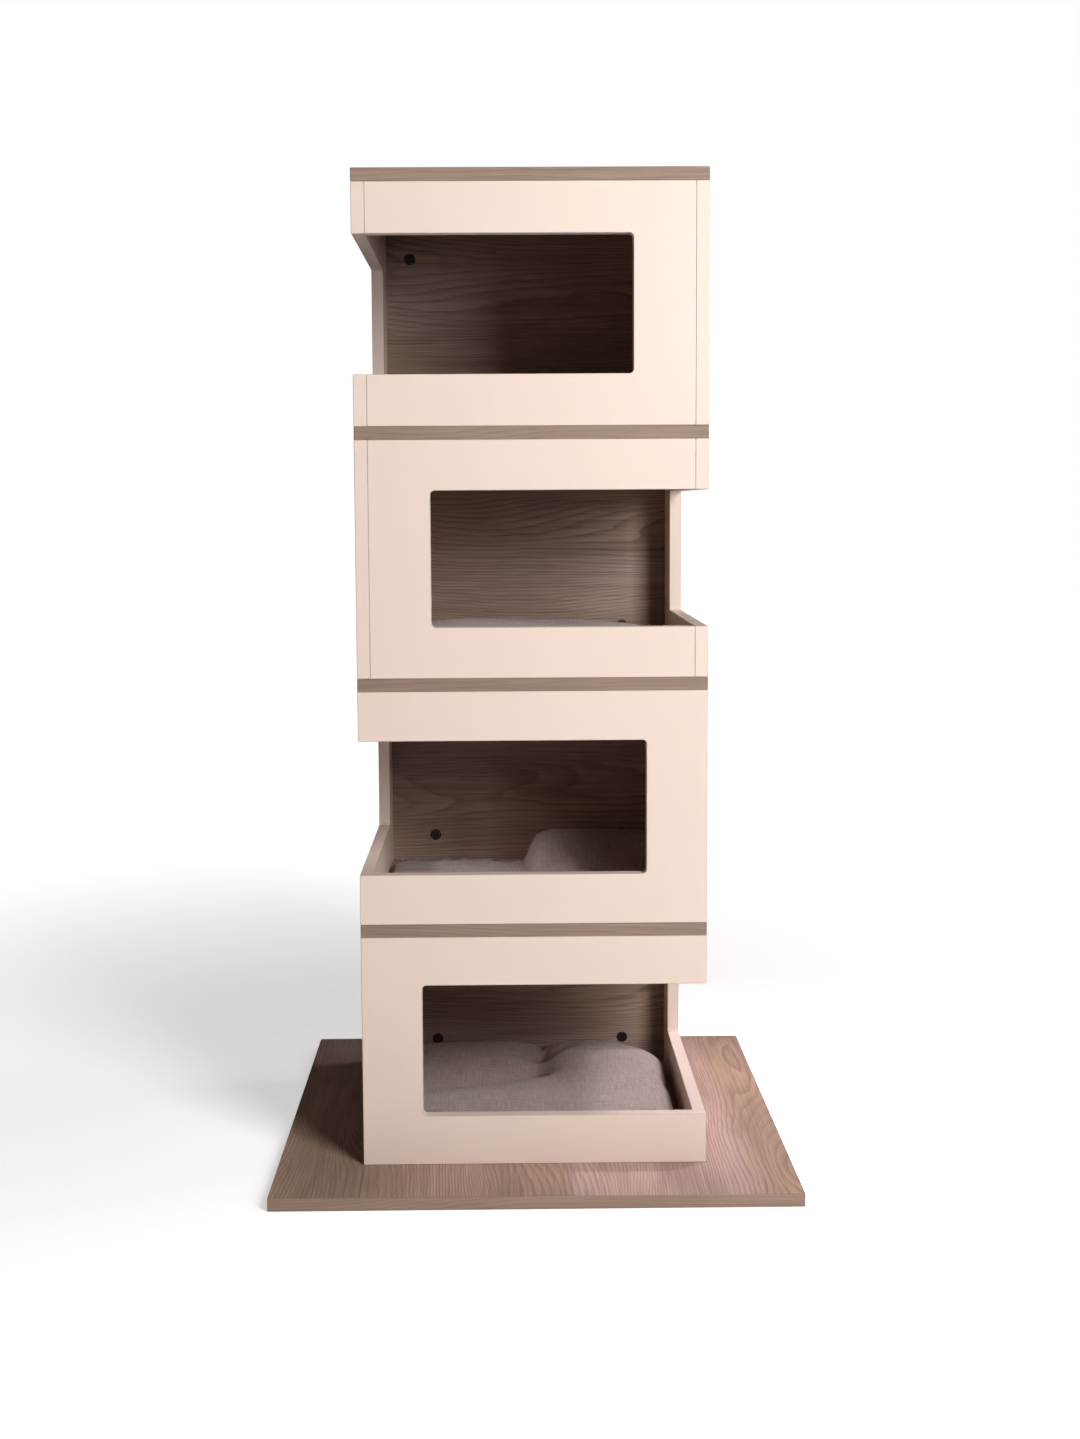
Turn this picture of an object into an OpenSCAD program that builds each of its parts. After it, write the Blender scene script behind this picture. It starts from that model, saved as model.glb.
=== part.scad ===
// Four-storey cat tower: open-cornered boxes stacked on a wide base plate,
// wood-decor boards between them, and a loose cushion on every floor.
// The origin is the middle of the base plate's underside. +Z is up and -Y is the front.

/* [Tower] */
// Outside width of the tower
tower_w = 400; // [330:5:500]
// Outside depth of the tower
tower_d = 400; // [330:5:500]
// Height of one box, between the boards below and above it
box_h = 270; // [220:5:340]
// Thickness of every board and panel
board_t = 15; // [12:0.5:18]
// Lower boxes whose front panel covers the edges of the side panels
covered_levels = 2; // [0:1:4]

/* [Base plate] */
// Width of the base plate
base_w = 600; // [500:10:750]
// Depth of the base plate
base_d = 600; // [500:10:750]

/* [Openings] */
// Height of the sill under an opening
sill_h = 58; // [45:1:75]
// Height of the lintel over an opening
lintel_h = 57; // [45:1:75]
// Width of the strip that closes an opening's far end
strip_w = 70; // [50:1:90]
// Radius of an opening's inner corners
opening_r = 5; // [2:0.5:10]

/* [Cushions] */
// Gap between a cushion and the panels around it
cushion_gap = 4; // [2:0.5:10]
// Height of a cushion at its edges
cushion_edge_h = 30; // [20:1:36]
// Height of a cushion at its crown
cushion_crown_h = 58; // [46:1:70]
// Radius of a cushion's corners, seen from above
cushion_corner_r = 32; // [20:1:40]
// Gap that keeps a cushion off the board under it
cushion_lift = 0.3; // [0.2:0.1:1]

/* [Dowels] */
// Diameter of a wooden dowel
dowel_d = 8; // [6:0.5:9]
// Length of a wooden dowel
dowel_l = 30; // [24:1:36]
// Wood left behind a dowel hole in a board's face
dowel_skin = 5; // [4:0.5:6]
// Distance from the outside corner to a dowel in a panel's lower edge
dowel_inset_low = 100; // [80:1:120]
// Distance from the outside corner to a dowel in a panel's upper edge
dowel_inset_high = 140; // [130:1:150]
// Radial clearance of a dowel in its hole
dowel_fit = 0.1; // [0.05:0.05:0.2]
// Space left past each end of a dowel
dowel_end_gap = 0.5; // [0.3:0.1:1]

/* [Cam fittings] */
// Diameter of a cam lock
cam_d = 15; // [14:0.5:18]
// Distance from a panel's edge to the middle of its cam lock
cam_setback = 34; // [28:1:41]
// Wood left behind a cam hole
cam_skin = 2.5; // [2:0.1:3]
// Distance from the outside corner to a lower cam lock
cam_inset_low = 73; // [70:1:88]
// Distance from the end of a corner dowel's hole to the middle of an upper cam lock
cam_from_dowel = 10.5; // [10:0.5:14]
// Radial clearance of a cam lock in its hole
cam_fit = 0.1; // [0.05:0.05:0.2]
// Depth of a cam lock's face under the panel's face
cam_recess = 1.5; // [1:0.1:1.8]
// Diameter of a cam bolt's threaded end
bolt_thread_d = 6; // [5:0.1:7]
// Diameter of a cam bolt's shank
bolt_shank_d = 5; // [4:0.1:5.5]
// Diameter of a cam bolt's neck
bolt_neck_d = 3.2; // [2.6:0.1:3.8]
// Diameter of a cam bolt's head
bolt_head_d = 6.4; // [5.5:0.1:7]
// Diameter of the channel that a cam bolt passes through
bolt_channel_d = 8; // [7.5:0.1:9]
// Wood left behind a cam bolt's thread
bolt_skin = 4; // [3:0.5:5]

/* [Base screws] */
// Diameter of a screw's shank
screw_d = 5; // [4:0.1:6]
// Diameter of a screw's countersunk head
screw_head_d = 10; // [8:0.1:12]
// Length of a screw
screw_l = 45; // [38:1:54]
// Depth of a screw's head under the underside
screw_recess = 0.6; // [0.3:0.1:1.2]
// Radial clearance of a screw in its hole
screw_fit = 0.1; // [0.05:0.05:0.2]

/* [Hidden] */
$fn = 48;
levels = 4;
white = "#f1e9e1";
decor = "#b39c8b";
linen = "#c9c1b6";
metal = "#a8a8a6";
dowel_wood = "#d9bd8c";
past = 1;                                   // how far a cutter runs past a face
half_w = tower_w / 2;
half_d = tower_d / 2;
pitch = box_h + board_t;
opening_h = box_h - sill_h - lintel_h;
inner_w = tower_w - 2 * board_t;
inner_d = tower_d - 2 * board_t;
dowel_in_face = board_t - dowel_skin;
cam_hole_depth = board_t - cam_skin;
cam_inset_high = board_t + dowel_l - dowel_in_face + dowel_end_gap + cam_from_dowel;
cam_end_gap = 0.5;                          // space left behind a cam lock
cam_l = cam_hole_depth - cam_recess - cam_end_gap;
drive_w = 1.4;                              // width of a cam lock's cross recess
drive_l = 7;                                // length of its arms, end to end
drive_depth = 2;
bolt_in_board = board_t - bolt_skin;
bolt_clearance = 0.3;                       // round a bolt's head inside its cam lock
bolt_head_l = 3;
bolt_neck_l = 3;
bolt_collar_d = bolt_thread_d + 1.2;
bolt_collar_h = 1;
screw_head_h = (screw_head_d - screw_d) / 2;
cushion_w = inner_w - 2 * cushion_gap;
cushion_d = inner_d - 2 * cushion_gap;

PANELS = ["front_panel_", "back_panel_", "left_panel_", "right_panel_", "cushion_"];

// Height of the board face that a box stands on
function floor_z(level) = board_t + (level - 1) * pitch;

// Which side an opening wraps round: 1 is the right, -1 the left
function open_side(level) = level % 2 == 1 ? 1 : -1;

// True where the front panel covers the side panels' edges
function front_covers(level) = level <= covered_levels;

// True where the panel at the front (-1) or the back (1) covers the side panels' edges
function end_covers(level, y_side) = y_side < 0 ? front_covers(level) : !front_covers(level);

// Half the width of the panel at the front (-1) or the back (1)
function end_panel_half(level, y_side) = end_covers(level, y_side) ? half_w : half_w - board_t;

// Where the side panels start and end, along the depth
function side_start(level) = -half_d + (front_covers(level) ? board_t : 0);
function side_end(level) = half_d - (front_covers(level) ? 0 : board_t);

// A block from one corner to the opposite one
module block(low, high) {
    translate(low) cube(high - low);
}

// The cutter of an opening, as seen from the front: closed end at x = 0, running to length
module opening_cutter(length, thickness) {
    rotate([90, 0, 0])
        linear_extrude(height = thickness + 2 * past, center = true)
            union() {
                translate([opening_r, 0]) square([length + past - opening_r, opening_h]);
                translate([0, opening_r]) square([length, opening_h - 2 * opening_r]);
                for (z = [opening_r, opening_h - opening_r])
                    translate([opening_r, z]) circle(r = opening_r);
            }
}

// Puts its children at every corner joint of a box, +Z of the child pointing inwards
module at_corner_joints(level) {
    for (x_side = [-1, 1], y_side = [-1, 1], z = [sill_h / 2, box_h - lintel_h / 2])
        if (end_covers(level, y_side))
            translate([x_side * (half_w - board_t / 2), y_side * (half_d - board_t), z])
                rotate([y_side * 90, 0, 0]) children();
        else
            translate([x_side * (half_w - board_t), y_side * (half_d - board_t / 2), z])
                rotate([0, -x_side * 90, 0]) children();
}

// Puts its children where the front panel stands on the board below it, +Z into the panel
module at_front_edge(inset) {
    for (x_side = [-1, 1])
        translate([x_side * (half_w - inset), -half_d + board_t / 2, 0]) children();
}

// Puts its children where the side panels stand on the board below them, +Z into the panel
module at_side_edges(inset) {
    for (x_side = [-1, 1], y_side = [-1, 1])
        translate([x_side * (half_w - board_t / 2), y_side * (half_d - inset), 0]) children();
}

// Puts its children on the lower and upper edges of a box's front and side panels
module at_board_joints(level) {
    at_front_edge(dowel_inset_low) children();
    if (level > 1) at_side_edges(dowel_inset_low) children();
    translate([0, 0, box_h]) mirror([0, 0, 1]) {
        at_front_edge(dowel_inset_high) children();
        at_side_edges(dowel_inset_high) children();
    }
}

// Puts its children where the back panel meets the boards, +Z into the panel
module at_cam_joints() {
    for (x_side = [-1, 1]) {
        translate([x_side * (half_w - cam_inset_low), half_d - board_t / 2, 0]) children();
        translate([x_side * (half_w - cam_inset_high), half_d - board_t / 2, box_h])
            mirror([0, 0, 1]) children();
    }
}

module dowel() {
    translate([0, 0, -dowel_in_face]) cylinder(d = dowel_d, h = dowel_l);
}

module dowel_hole() {
    translate([0, 0, -dowel_in_face - dowel_end_gap])
        cylinder(d = dowel_d + 2 * dowel_fit, h = dowel_l + 2 * dowel_end_gap);
}

// A cam bolt: thread in the board, collar, shank, neck, and the head that the cam draws in
module cam_bolt() {
    neck_z = cam_setback - bolt_head_l / 2 - bolt_neck_l;
    rotate_extrude() polygon([
        [0, -bolt_in_board],
        [bolt_thread_d / 2, -bolt_in_board],
        [bolt_thread_d / 2, 0],
        [bolt_collar_d / 2, 0],
        [bolt_collar_d / 2, bolt_collar_h],
        [bolt_shank_d / 2, bolt_collar_h],
        [bolt_shank_d / 2, neck_z],
        [bolt_neck_d / 2, neck_z],
        [bolt_neck_d / 2, neck_z + bolt_neck_l],
        [bolt_head_d / 2, neck_z + bolt_neck_l],
        [bolt_head_d / 2, cam_setback + bolt_head_l / 2],
        [0, cam_setback + bolt_head_l / 2]
    ]);
}

// A cam lock, its face towards -Y, with a cross recess and the slot that takes the bolt's head
module cam_lock() {
    slot_w = bolt_head_d + 2 * bolt_clearance;
    slot_top = bolt_head_l / 2 + bolt_clearance;
    translate([0, -board_t / 2, cam_setback]) difference() {
        translate([0, cam_recess, 0]) rotate([-90, 0, 0]) cylinder(d = cam_d - 2 * cam_fit, h = cam_l);
        block([-slot_w / 2, (board_t - slot_w) / 2, -cam_d],
              [slot_w / 2, (board_t + slot_w) / 2, slot_top]);
        for (arm = [[drive_l, drive_w], [drive_w, drive_l]])
            block([-arm[0] / 2, -past, -arm[1] / 2], [arm[0] / 2, cam_recess + drive_depth, arm[1] / 2]);
    }
}

// The cam lock's hole in the panel's inner face
module cam_hole() {
    translate([0, -board_t / 2 - past, cam_setback])
        rotate([-90, 0, 0]) cylinder(d = cam_d, h = cam_hole_depth + past);
}

// The cam bolt's channel up the panel, and its hole in the board
module bolt_hole() {
    cylinder(d = bolt_channel_d, h = cam_setback);
    translate([0, 0, -bolt_in_board - dowel_end_gap])
        cylinder(d = bolt_thread_d + 2 * cam_fit, h = bolt_in_board + dowel_end_gap + past);
}

module screw() {
    translate([0, 0, screw_recess - board_t]) {
        cylinder(d1 = screw_head_d, d2 = screw_d, h = screw_head_h);
        cylinder(d = screw_d, h = screw_l);
    }
}

module screw_hole() {
    translate([0, 0, -board_t - past]) {
        cylinder(d = screw_head_d + 2 * screw_fit, h = screw_recess + past);
        cylinder(d = screw_d + 2 * screw_fit, h = past + screw_recess + screw_l + dowel_end_gap);
        translate([0, 0, past + screw_recess])
            cylinder(d1 = screw_head_d + 2 * screw_fit, d2 = screw_d + 2 * screw_fit, h = screw_head_h);
    }
}

// Everything that is drilled for one box, in the box's own place
module box_holes(level) {
    translate([0, 0, floor_z(level)]) {
        at_corner_joints(level) dowel_hole();
        at_board_joints(level) dowel_hole();
        at_cam_joints() {
            cam_hole();
            bolt_hole();
        }
        if (level == 1) at_side_edges(dowel_inset_low) screw_hole();
    }
}

// A plain panel at the front (-1) or the back (1) of a box
module end_blank(level, y_side) {
    half = end_panel_half(level, y_side);
    translate([-half, y_side * (half_d - board_t / 2) - board_t / 2, floor_z(level)])
        cube([2 * half, board_t, box_h]);
}

module front_panel(level) {
    half = end_panel_half(level, -1);
    side = open_side(level);
    color(white) difference() {
        end_blank(level, -1);
        translate([-side * (half - strip_w), -half_d + board_t / 2, floor_z(level) + sill_h])
            mirror([side < 0 ? 1 : 0, 0, 0]) opening_cutter(2 * half - strip_w, board_t);
        box_holes(level);
    }
}

module back_panel(level) {
    color(decor) difference() {
        end_blank(level, 1);
        box_holes(level);
    }
}

// The panel on the left (-1) or the right (1) of a box, opened if the box opens on that side
module side_panel(level, x_side) {
    from = side_start(level);
    length = side_end(level) - from;
    color(white) difference() {
        translate([x_side * (half_w - board_t / 2) - board_t / 2, from, floor_z(level)])
            cube([board_t, length, box_h]);
        if (open_side(level) == x_side)
            translate([x_side * (half_w - board_t / 2), from + length - strip_w, floor_z(level) + sill_h])
                rotate([0, 0, -90]) opening_cutter(length - strip_w, board_t);
        box_holes(level);
    }
}

module left_panel(level) {
    side_panel(level, -1);
}

module right_panel(level) {
    side_panel(level, 1);
}

// The board on top of a box, drilled for the box below it and the one above it
module floor_board(level) {
    color(decor) difference() {
        translate([-half_w, -half_d, floor_z(level) + box_h]) cube([tower_w, tower_d, board_t]);
        box_holes(level);
        if (level < levels) box_holes(level + 1);
    }
}

module shelf(level) {
    floor_board(level);
}

module top_board() {
    floor_board(levels);
}

module base_plate() {
    color(decor) difference() {
        translate([-base_w / 2, -base_d / 2, 0]) cube([base_w, base_d, board_t]);
        box_holes(1);
    }
}

// Radius of the arc that rises from the edge height to the crown over a span
function crown_r(span) =
    let (rise = cushion_crown_h - cushion_edge_h) (pow(span / 2, 2) + pow(rise, 2)) / (2 * rise);

// A square pad with round corners, crowned both ways
module cushion(level) {
    color(linen) translate([0, 0, floor_z(level) + cushion_lift]) intersection() {
        translate([0, 0, cushion_crown_h - crown_r(cushion_w)])
            rotate([90, 0, 0]) cylinder(r = crown_r(cushion_w), h = 2 * tower_d, center = true, $fn = 360);
        translate([0, 0, cushion_crown_h - crown_r(cushion_d)])
            rotate([0, 90, 0]) cylinder(r = crown_r(cushion_d), h = 2 * tower_w, center = true, $fn = 360);
        linear_extrude(height = cushion_crown_h + past) union() {
            square([cushion_w - 2 * cushion_corner_r, cushion_d], center = true);
            square([cushion_w, cushion_d - 2 * cushion_corner_r], center = true);
            for (x_side = [-1, 1], y_side = [-1, 1])
                translate([x_side * (cushion_w / 2 - cushion_corner_r),
                           y_side * (cushion_d / 2 - cushion_corner_r)])
                    circle(r = cushion_corner_r);
        }
    }
}

// The dowels that join a box's four panels at its corners
module corner_dowels() {
    color(dowel_wood) for (level = [1 : levels])
        translate([0, 0, floor_z(level)]) at_corner_joints(level) dowel();
}

// The dowels that stand in the boards and hold the front and side panels
module board_dowels() {
    color(dowel_wood) for (level = [1 : levels])
        translate([0, 0, floor_z(level)]) at_board_joints(level) dowel();
}

module cam_locks() {
    color(metal) for (level = [1 : levels])
        translate([0, 0, floor_z(level)]) at_cam_joints() cam_lock();
}

module cam_bolts() {
    color(metal) for (level = [1 : levels])
        translate([0, 0, floor_z(level)]) at_cam_joints() cam_bolt();
}

module base_screws() {
    color(metal) translate([0, 0, floor_z(1)]) at_side_edges(dowel_inset_low) screw();
}

base_plate();
for (level = [1 : levels]) {
    front_panel(level);
    back_panel(level);
    left_panel(level);
    right_panel(level);
    cushion(level);
}
for (level = [1 : levels - 1])
    shelf(level);
top_board();
corner_dowels();
board_dowels();
cam_locks();
cam_bolts();
base_screws();
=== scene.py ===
"""The looks of a four-storey cat tower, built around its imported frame.

Lengths are in metres, +Z is up, -Y is the front of the tower and +X its right. Every piece is made as
whole numpy arrays of points, lies at its place in its own mesh, and rides on one body of the frame.
"""

from __future__ import annotations

import logging
import math
from dataclasses import dataclass
from enum import Enum
from typing import Any

import bpy
import numpy as np
from mathutils import Matrix, Vector


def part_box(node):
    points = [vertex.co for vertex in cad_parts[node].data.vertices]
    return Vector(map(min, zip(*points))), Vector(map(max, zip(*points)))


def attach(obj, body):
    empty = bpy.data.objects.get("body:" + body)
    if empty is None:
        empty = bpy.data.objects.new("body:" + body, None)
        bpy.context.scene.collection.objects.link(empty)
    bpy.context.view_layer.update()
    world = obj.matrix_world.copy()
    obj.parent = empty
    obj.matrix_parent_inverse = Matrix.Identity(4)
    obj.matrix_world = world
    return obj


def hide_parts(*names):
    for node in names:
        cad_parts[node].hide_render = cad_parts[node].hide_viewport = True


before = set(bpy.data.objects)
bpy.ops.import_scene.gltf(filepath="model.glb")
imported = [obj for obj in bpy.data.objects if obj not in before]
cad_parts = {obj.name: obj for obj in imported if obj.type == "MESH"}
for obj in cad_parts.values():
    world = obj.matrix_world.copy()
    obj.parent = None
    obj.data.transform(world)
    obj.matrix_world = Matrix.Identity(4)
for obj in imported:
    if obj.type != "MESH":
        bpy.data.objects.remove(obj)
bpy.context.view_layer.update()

LOG = logging.getLogger("cat_tower")
TOWER_BODY = "tower"
LEVELS = 4
MM = 0.001
Array = np.ndarray
Colour = tuple[float, float, float]
Stretch = tuple[float, float, float]
Face = list[int]
Socket = bpy.types.NodeSocket
Inputs = dict[str | int, Any]


class Side(Enum):
    """The side that a box's opening wraps round."""

    LEFT = -1
    RIGHT = 1


class Run(Enum):
    """The axis that a board's grain runs along."""

    ALONG_X = (0.0, 0.0, 0.0)
    ALONG_Y = (0.0, 0.0, math.pi / 2)


class Facing(Enum):
    """How a board lies: the directions of its length, its height and its thickness."""

    FRONT = ((1, 0, 0), (0, 0, 1), (0, -1, 0))
    RIGHT = ((0, 1, 0), (0, 0, 1), (1, 0, 0))
    LEFT = ((0, -1, 0), (0, 0, 1), (-1, 0, 0))
    UP = ((1, 0, 0), (0, 1, 0), (0, 0, 1))


# ---------------------------------------------------------------- shapes


def square_corners(corners: Array, radii: Array, steps: int) -> Array:
    """Rounds the square corners of an outline.

    Each corner becomes a quarter circle: with the unit directions to the corner before and to the
    corner after, a point is the corner plus radius times (before * (1 - sin) + after * (1 - cos)).

    Args:
        corners: The outline's corners, anticlockwise, one row each.
        radii: The radius of each corner.
        steps: Points on each quarter circle.

    Returns:
        The rounded outline, one row for each point.
    """
    before = np.roll(corners, 1, axis=0) - corners
    after = np.roll(corners, -1, axis=0) - corners
    before /= np.linalg.norm(before, axis=1, keepdims=True)
    after /= np.linalg.norm(after, axis=1, keepdims=True)
    turn = np.linspace(0.0, math.pi / 2, steps)
    reach = before[:, None, :] * (1 - np.sin(turn))[None, :, None]
    reach = reach + after[:, None, :] * (1 - np.cos(turn))[None, :, None]
    return (corners[:, None, :] + radii[:, None, None] * reach).reshape(-1, 2)


def mitres(outline: Array) -> Array:
    """The way each point of an outline moves when the outline shrinks by one.

    The two edges' inward normals are added and divided by one plus their product.

    Args:
        outline: A closed outline, anticlockwise.

    Returns:
        One vector for each point.
    """
    edge = np.roll(outline, -1, axis=0) - outline
    edge /= np.linalg.norm(edge, axis=1, keepdims=True)
    inward = np.stack([-edge[:, 1], edge[:, 0]], axis=1)
    earlier = np.roll(inward, 1, axis=0)
    return (inward + earlier) / (1 + (inward * earlier).sum(axis=1, keepdims=True))


def ring_faces(rings: int, points: int) -> Array:
    """The quads of a tube of closed rings, as point numbers ring * points + place.

    Args:
        rings: How many rings the tube has.
        points: How many points each ring has.

    Returns:
        One row of four numbers for each quad.
    """
    ring, place = np.meshgrid(np.arange(rings - 1), np.arange(points), indexing="ij")
    following = (place + 1) % points
    quads = [ring * points + place, ring * points + following]
    quads += [(ring + 1) * points + following, (ring + 1) * points + place]
    return np.stack(quads, axis=-1).reshape(-1, 4)


def grid_quads(rows: int, columns: int) -> Array:
    """The quads of a grid of points, as point numbers row * columns + column.

    Args:
        rows: How many rows of points there are.
        columns: How many points each row has.

    Returns:
        One row of four numbers for each quad.
    """
    row, column = np.meshgrid(np.arange(rows - 1), np.arange(columns - 1), indexing="ij")
    first = row * columns + column
    return np.stack([first, first + columns, first + columns + 1, first + 1], -1).reshape(-1, 4)


def smooth_step(value: Array, low: float, high: float) -> Array:
    """Zero up to low, one from high, and 3 t^2 - 2 t^3 between them."""
    t = np.clip((value - low) / (high - low), 0, 1)
    return t * t * (3 - 2 * t)


def new_piece(name: str, points: Array, faces: list[Face]) -> bpy.types.Object:
    """Puts points and faces into a mesh object at the origin.

    Args:
        name: The piece's name.
        points: One row of x, y, z for each point.
        faces: The point numbers round each face, anticlockwise from outside.

    Returns:
        The linked object.
    """
    mesh = bpy.data.meshes.new(name)
    mesh.from_pydata(points.tolist(), [], faces)
    mesh.update()
    piece = bpy.data.objects.new(name, mesh)
    bpy.context.scene.collection.objects.link(piece)
    return piece


def read_points(piece: bpy.types.Object, evaluated: bool = False) -> Array:
    """The points of a piece.

    Args:
        piece: The piece to read.
        evaluated: Whether its modifiers are at work.

    Returns:
        One row for each point.
    """
    source = piece.evaluated_get(bpy.context.evaluated_depsgraph_get()) if evaluated else piece
    values = np.empty(len(source.data.vertices) * 3, np.float32)
    source.data.vertices.foreach_get("co", values)
    return values.reshape(-1, 3).astype(float)


def write_points(piece: bpy.types.Object, points: Array) -> None:
    """Moves the points of a piece."""
    piece.data.vertices.foreach_set("co", points.astype(np.float32).ravel())


def read_normals(piece: bpy.types.Object) -> Array:
    """The normal at each point of a piece."""
    values = np.empty(len(piece.data.vertices) * 3, np.float32)
    piece.data.vertices.foreach_get("normal", values)
    return values.reshape(-1, 3).astype(float)


def apply_modifiers(piece: bpy.types.Object) -> None:
    """Makes a piece's modifiers part of its mesh."""
    result = bpy.data.meshes.new_from_object(piece.evaluated_get(bpy.context.evaluated_depsgraph_get()))
    piece.modifiers.clear()
    piece.data = result
    result.name = piece.name


def set_attribute(piece: bpy.types.Object, name: str, values: Array) -> None:
    """Stores one number for each point of a piece, for its material to read."""
    attribute = piece.data.attributes.new(name, "FLOAT", "POINT")
    attribute.data.foreach_set("value", np.ascontiguousarray(values, dtype=np.float32))


@dataclass
class Board:
    """A board with eased edges: an outline carried through a thickness.

    The profile is a quarter circle at each face: the outline shrinks by ease * (1 - sin) as the
    height grows by ease * (1 - cos), and the two faces close it.
    """

    name: str
    outline: Array
    thickness: float
    facing: Facing
    origin: tuple[float, float, float]
    ease: float = 0.8 * MM
    ease_steps: int = 4

    def profile(self) -> tuple[Array, Array, Array]:
        """The inset, the height and the edge wear of each ring, from one face to the other."""
        turn = np.linspace(0.0, math.pi / 2, self.ease_steps)
        inset = self.ease * (1 - np.sin(turn))
        height = self.ease * (1 - np.cos(turn))
        wear = np.sin(2 * turn)
        insets = np.concatenate([inset, inset[::-1]])
        heights = np.concatenate([height, self.thickness - height[::-1]])
        return insets, heights, np.concatenate([wear, wear[::-1]])

    def build(self) -> bpy.types.Object:
        """Makes the board's mesh.

        Returns:
            The board as an object at the origin.
        """
        insets, heights, wear = self.profile()
        flat = self.outline[None] + insets[:, None, None] * mitres(self.outline)[None]
        along, up, out = (np.array(axis, float) for axis in self.facing.value)
        points = np.array(self.origin) + flat[..., :1] * along + flat[..., 1:] * up
        points = points + heights[:, None, None] * out
        rings, count = flat.shape[:2]
        faces = ring_faces(rings, count).tolist()
        faces.append(list(range(count))[::-1])
        faces.append(list(range((rings - 1) * count, rings * count)))
        piece = new_piece(self.name, points.reshape(-1, 3), faces)
        set_attribute(piece, "edge_wear", np.repeat(wear, count))
        return piece


# ---------------------------------------------------------------- finishes


@dataclass
class Graph:
    """A material's node tree, with one short call for each node that the finishes share."""

    tree: bpy.types.NodeTree

    def add(self, kind: str, inputs: Inputs | None = None, **settings: Any) -> bpy.types.Node:
        """Adds a node, sets it and links what feeds it.

        Args:
            kind: The node's type name.
            inputs: A value or another node's output for each input, by name or number.
            **settings: The node's own properties.

        Returns:
            The new node.
        """
        node = self.tree.nodes.new(kind)
        for key, value in settings.items():
            setattr(node, key, value)
        for key, value in (inputs or {}).items():
            if isinstance(value, Socket):
                self.tree.links.new(value, node.inputs[key])
            else:
                node.inputs[key].default_value = value
        return node

    def place(self, scale: Stretch, turn: Stretch = (0, 0, 0), shift: Stretch = (0, 0, 0)) -> Socket:
        """The piece's own coordinates, moved by shift and turned, then stretched by scale."""
        spot = self.add("ShaderNodeTexCoord").outputs["Object"]
        turned = self.add("ShaderNodeMapping", {"Vector": spot, "Location": shift, "Rotation": turn})
        return self.stretch(turned.outputs[0], scale)

    def stretch(self, vector: Socket, scale: Stretch) -> Socket:
        """A vector with each part multiplied."""
        return self.add("ShaderNodeVectorMath", {0: vector, 1: scale}, operation="MULTIPLY").outputs[0]

    def noise(self, vector: Socket, scale: float, detail: float = 2.0,
              roughness: float = 0.5, distortion: float = 0.0) -> Socket:
        """A soft noise, mostly between 0.25 and 0.75."""
        inputs = {"Vector": vector, "Scale": scale, "Detail": detail, "Roughness": roughness,
                  "Distortion": distortion}
        return self.add("ShaderNodeTexNoise", inputs).outputs["Fac"]

    def maths(self, operation: str, first: Any, second: Any = 0.0, third: Any = 0.0) -> Socket:
        """The result of one sum on one, two or three numbers."""
        return self.add("ShaderNodeMath", {0: first, 1: second, 2: third}, operation=operation).outputs[0]

    def span(self, value: Socket, low: float, high: float, new_low: float = 0.0,
             new_high: float = 1.0, smooth: bool = False) -> Socket:
        """A number carried from low..high to new_low..new_high, and held at its ends."""
        inputs = {"Value": value, "From Min": low, "From Max": high,
                  "To Min": new_low, "To Max": new_high}
        kind = "SMOOTHSTEP" if smooth else "LINEAR"
        return self.add("ShaderNodeMapRange", inputs, interpolation_type=kind).outputs["Result"]

    def ramp(self, value: Socket, stops: tuple[tuple[float, float], ...]) -> Socket:
        """A grey that follows the given stops.

        Args:
            value: The number that runs along the ramp.
            stops: A place and a level for each stop.

        Returns:
            The grey.
        """
        node = self.add("ShaderNodeValToRGB", {"Fac": value})
        bar = node.color_ramp
        bar.interpolation = "EASE"
        while len(bar.elements) < len(stops):
            bar.elements.new(0.5)
        for element, (place, level) in zip(bar.elements, stops):
            element.position = place
            element.color = (level, level, level, 1)
        return node.outputs["Color"]

    def mix(self, amount: Any, first: Any, second: Any, blend: str = "MIX") -> Socket:
        """Two colours mixed by an amount.

        Args:
            amount: How much of the second is seen.
            first: A colour, or another node's output.
            second: A colour, or another node's output.
            blend: The kind of mix.

        Returns:
            The mixed colour.
        """
        node = self.add("ShaderNodeMix", {0: amount}, data_type="RGBA", blend_type=blend)
        for key, value in ((6, first), (7, second)):
            if isinstance(value, Socket):
                self.tree.links.new(value, node.inputs[key])
            else:
                node.inputs[key].default_value = (*value, 1)
        return node.outputs[2]

    def bump(self, height: Socket, distance: float, strength: float = 1.0,
             normal: Socket | None = None) -> Socket:
        """A bumped normal: height 0 to 1 stands for the distance in metres.

        Args:
            height: The height to read.
            distance: How far a height of 1 stands out.
            strength: How much of the bump is kept.
            normal: A normal that is bumped already.

        Returns:
            The new normal.
        """
        inputs: Inputs = {"Height": height, "Distance": distance, "Strength": strength}
        if normal is not None:
            inputs["Normal"] = normal
        return self.add("ShaderNodeBump", inputs).outputs["Normal"]

    def read(self, attribute: str) -> Socket:
        """A number stored on the piece's points."""
        return self.add("ShaderNodeAttribute", attribute_name=attribute).outputs["Fac"]

    def surface(self, inputs: Inputs) -> None:
        """Ends the tree in one principled shader."""
        shader = self.add("ShaderNodeBsdfPrincipled", inputs)
        output = self.add("ShaderNodeOutputMaterial")
        self.tree.links.new(shader.outputs[0], output.inputs[0])


def new_graph(name: str) -> tuple[bpy.types.Material, Graph]:
    """Makes an empty material with nodes.

    Args:
        name: The material's name.

    Returns:
        The material, and the graph that fills it.
    """
    material = bpy.data.materials.new(name)
    material.use_nodes = True
    material.node_tree.nodes.clear()
    return material, Graph(material.node_tree)


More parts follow.
